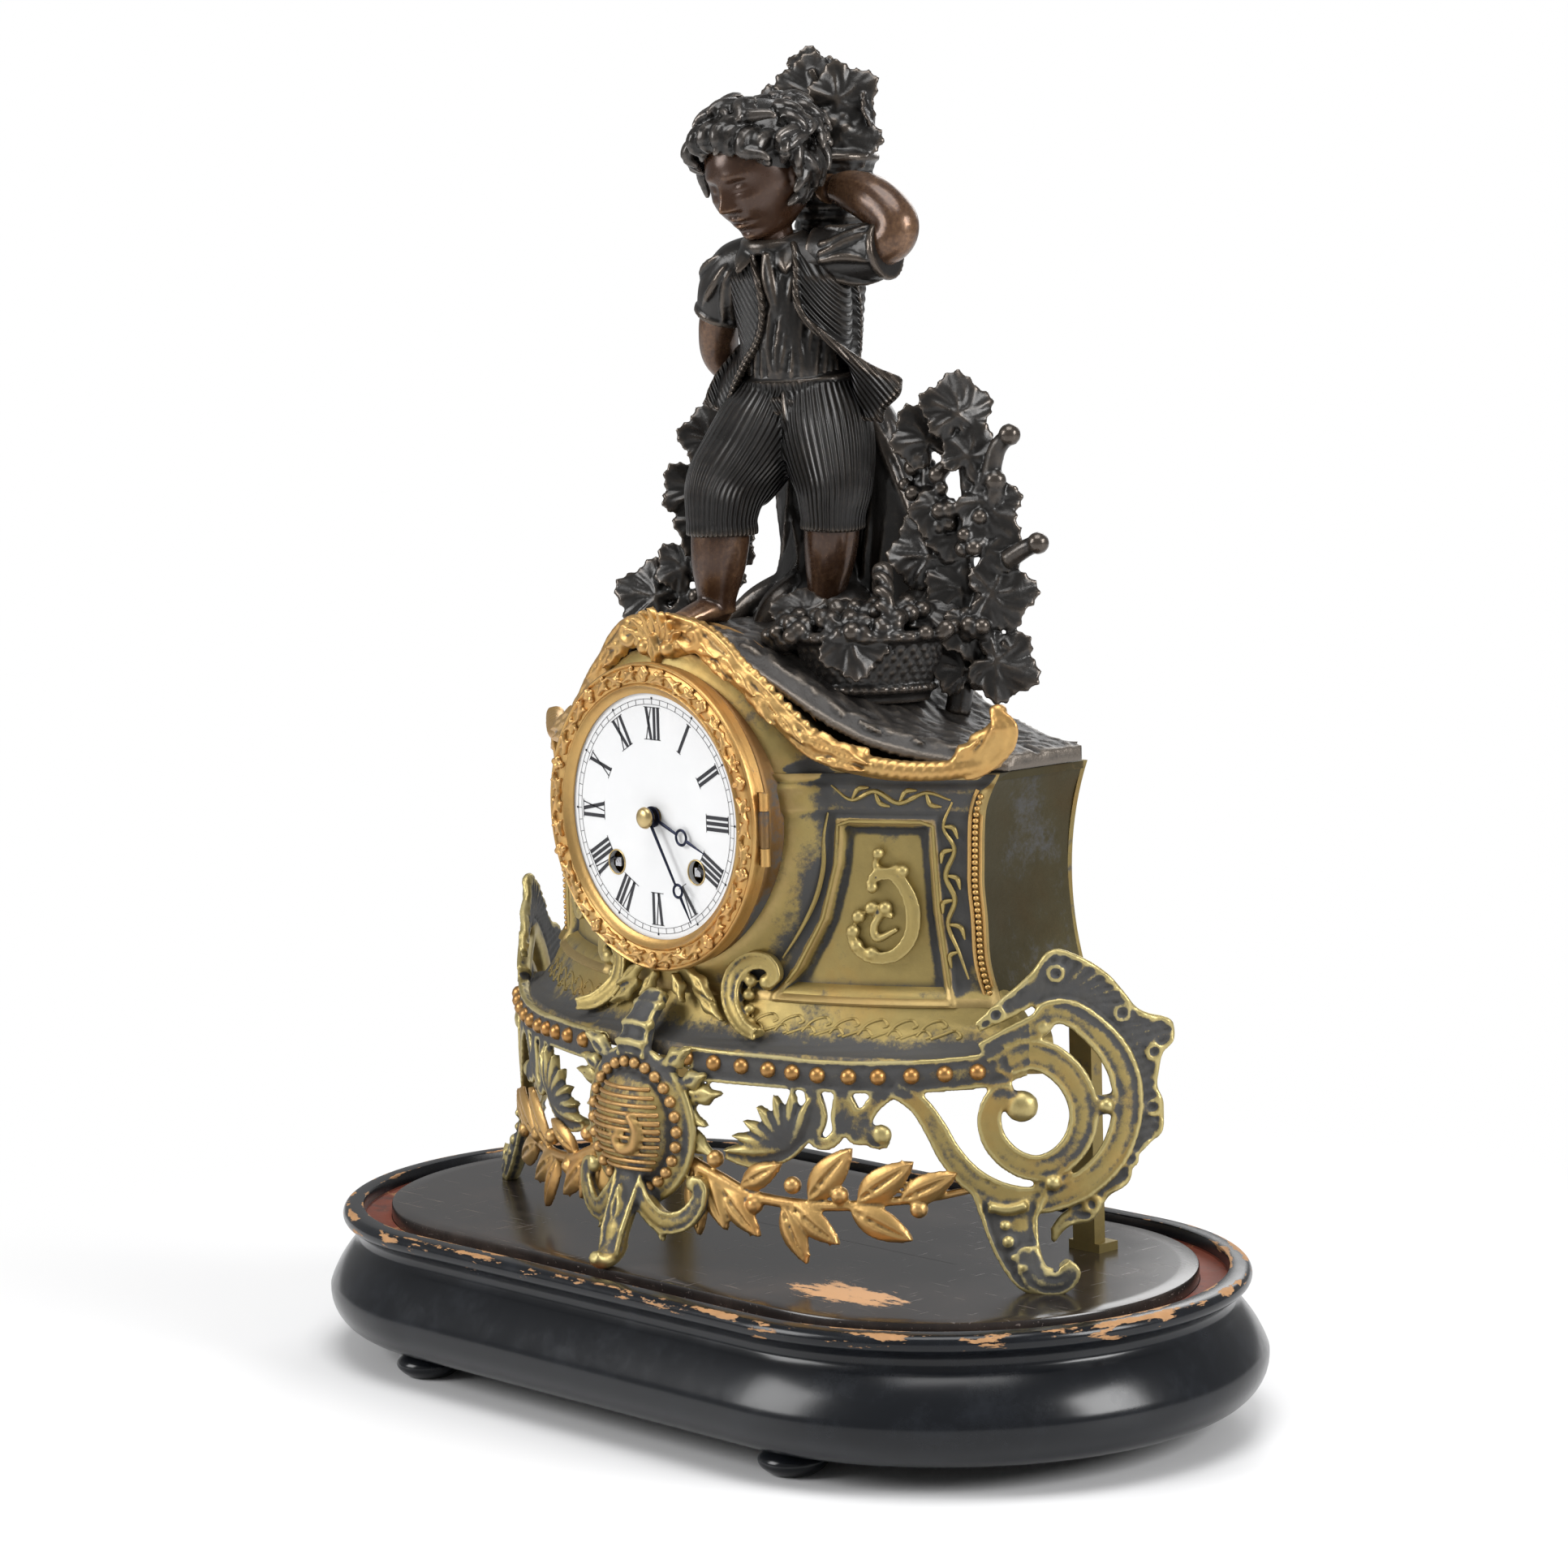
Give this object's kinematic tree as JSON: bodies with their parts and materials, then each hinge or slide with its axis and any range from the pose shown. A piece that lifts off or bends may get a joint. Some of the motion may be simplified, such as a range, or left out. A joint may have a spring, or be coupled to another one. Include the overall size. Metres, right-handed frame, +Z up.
{
  "type": "figural mantel clock",
  "caption": "Table clock with a bowed waisted case on a pierced scroll apron, a cast figure group on top, an oval stepped base, turning hands, swinging pendulum and hinged bezel.",
  "frame": {"origin": "centre of the base on the floor", "axes": "+Z up, dial faces -Y, +X to the viewer's right when facing the dial"},
  "size_m": [0.3772, 0.2052, 0.447],
  "materials": {
    "ebonised_wood": "gloss black, worn",
    "board": "satin black, scratched",
    "gilt": "worn gilding",
    "aged_gilt": "olive gilding with grey patina",
    "plain_metal": "plain aged",
    "bronze_dark": "near-black patina",
    "bronze_cloth": "dark brown patina",
    "bronze_skin": "warm brown patina",
    "enamel": "gloss vitreous enamel",
    "blued_steel": "blued",
    "brass": "brushed",
    "steel": "polished",
    "bell_metal": "turned"
  },
  "bodies": {
    "clock": {"base_moulding": "ebonised_wood", "base_board": "board", "base_feet": "ebonised_wood", "case_body": "aged_gilt", "deck": "aged_gilt", "apron": "aged_gilt", "panel_scrolls": "gilt", "top_trim": "gilt", "rear_legs": "plain_metal", "back_panel": "plain_metal", "mound": "bronze_dark", "tree_stump": "bronze_dark", "figure_head": "bronze_skin", "figure_torso": "bronze_cloth", "figure_left_arm": "bronze_skin", "figure_right_arm": "bronze_skin", "figure_legs": "bronze_cloth", "hod": "bronze_dark", "vine_right": "bronze_dark", "vine_left": "bronze_dark", "fruit_basket": "bronze_dark", "figure_fixing": "brass", "dial_ring": "gilt", "dial": "enamel", "front_plate": "brass", "back_plate": "brass", "plate_pillars": "brass", "movement_straps": "brass", "back_cock": "brass", "bell_stand": "steel", "bell": "bell_metal", "clicks": "steel", "hinge_pins": "steel"},
    "bezel": {"bezel": "gilt"},
    "back_door": {"back_door": "plain_metal"},
    "centre_arbor": {"centre_wheel": "brass", "cannon_pinion": "brass", "minute_hand": "blued_steel", "hand_nut": "brass"},
    "hour_arbor": {"hour_wheel": "brass", "hour_hand": "blued_steel"},
    "minute_wheel": {"minute_wheel": "brass"},
    "second_arbor": {"second_wheel": "brass"},
    "third_arbor": {"third_wheel": "brass"},
    "escape_arbor": {"escape_wheel": "brass"},
    "going_barrel": {"going_barrel": "brass", "going_mainspring": "blued_steel"},
    "going_arbor": {"going_arbor": "steel"},
    "strike_barrel": {"strike_barrel": "brass", "strike_mainspring": "blued_steel"},
    "strike_arbor": {"strike_arbor": "steel"},
    "strike_second_arbor": {"strike_second_wheel": "brass"},
    "locking_arbor": {"locking_wheel": "brass"},
    "fly": {"fly": "brass"},
    "pendulum": {"pendulum_rod": "steel", "pendulum_bob": "brass", "suspension_spring": "blued_steel"},
    "pallets": {"pallets": "steel"},
    "hammer": {"hammer": "steel"}
  },
  "joints": [
    {"name": "bezel_swing", "type": "hinge", "parent": "clock", "child": "bezel", "pos_m": [0.0532, -0.0502, 0.2], "axis": [0, 0, 1], "range_deg": [0, 110]},
    {"name": "door_swing", "type": "hinge", "parent": "clock", "child": "back_door", "pos_m": [0.05, 0.0456, 0.2], "axis": [0, 0, -1], "range_deg": [0, 110]},
    {"name": "minute_turn", "type": "hinge", "parent": "clock", "child": "centre_arbor", "pos_m": [0, -0.027, 0.2], "axis": [0, -1, 0], "continuous": true},
    {"name": "hour_turn", "type": "hinge", "parent": "clock", "child": "hour_arbor", "pos_m": [0, -0.027, 0.2], "axis": [0, -1, 0], "continuous": true},
    {"name": "minute_wheel_turn", "type": "hinge", "parent": "clock", "child": "minute_wheel", "pos_m": [0, -0.027, 0.212], "axis": [0, -1, 0], "continuous": true},
    {"name": "third_turn", "type": "hinge", "parent": "clock", "child": "third_arbor", "pos_m": [0.00395, -0.027, 0.21291], "axis": [0, -1, 0], "continuous": true},
    {"name": "second_turn", "type": "hinge", "parent": "clock", "child": "second_arbor", "pos_m": [0.01399, -0.027, 0.19944], "axis": [0, -1, 0], "continuous": true},
    {"name": "escape_turn", "type": "hinge", "parent": "clock", "child": "escape_arbor", "pos_m": [-0.00102, -0.027, 0.2231], "axis": [0, -1, 0], "continuous": true},
    {"name": "going_barrel_turn", "type": "hinge", "parent": "clock", "child": "going_barrel", "pos_m": [0.02, -0.027, 0.183], "axis": [0, -1, 0], "continuous": true},
    {"name": "going_wind", "type": "hinge", "parent": "clock", "child": "going_arbor", "pos_m": [0.02, -0.027, 0.183], "axis": [0, -1, 0], "continuous": true},
    {"name": "strike_second_turn", "type": "hinge", "parent": "clock", "child": "strike_second_arbor", "pos_m": [-0.01399, -0.027, 0.19944], "axis": [0, -1, 0], "continuous": true},
    {"name": "locking_turn", "type": "hinge", "parent": "clock", "child": "locking_arbor", "pos_m": [-0.01761, -0.027, 0.21296], "axis": [0, -1, 0], "continuous": true},
    {"name": "strike_barrel_turn", "type": "hinge", "parent": "clock", "child": "strike_barrel", "pos_m": [-0.02, -0.027, 0.183], "axis": [0, -1, 0], "continuous": true},
    {"name": "fly_turn", "type": "hinge", "parent": "clock", "child": "fly", "pos_m": [-0.02827, -0.027, 0.20908], "axis": [0, -1, 0], "continuous": true},
    {"name": "strike_wind", "type": "hinge", "parent": "clock", "child": "strike_arbor", "pos_m": [-0.02, -0.027, 0.183], "axis": [0, -1, 0], "continuous": true},
    {"name": "pendulum_swing", "type": "hinge", "parent": "clock", "child": "pendulum", "pos_m": [0, -0.004, 0.236], "axis": [0, -1, 0], "range_deg": [-4, 4]},
    {"name": "pallet_swing", "type": "hinge", "parent": "clock", "child": "pallets", "pos_m": [0, -0.02, 0.233], "axis": [0, -1, 0], "range_deg": [-4, 4]},
    {"name": "hammer_swing", "type": "hinge", "parent": "clock", "child": "hammer", "pos_m": [-0.027, 0, 0.223], "axis": [0, 1, 0], "range_deg": [0, 20]}
  ],
  "couplings": [
    {"joint": "hour_turn", "follows": "minute_turn", "ratio": 0.083333},
    {"joint": "minute_wheel_turn", "follows": "minute_turn", "ratio": -0.33333},
    {"joint": "third_turn", "follows": "minute_turn", "ratio": -8},
    {"joint": "second_turn", "follows": "minute_turn", "ratio": -0.16667},
    {"joint": "escape_turn", "follows": "minute_turn", "ratio": 64},
    {"joint": "going_barrel_turn", "follows": "minute_turn", "ratio": 0.027778},
    {"joint": "locking_turn", "follows": "strike_second_turn", "ratio": -6},
    {"joint": "strike_barrel_turn", "follows": "strike_second_turn", "ratio": -0.16667},
    {"joint": "fly_turn", "follows": "strike_second_turn", "ratio": 48},
    {"joint": "pallet_swing", "follows": "pendulum_swing", "ratio": 1}
  ]
}
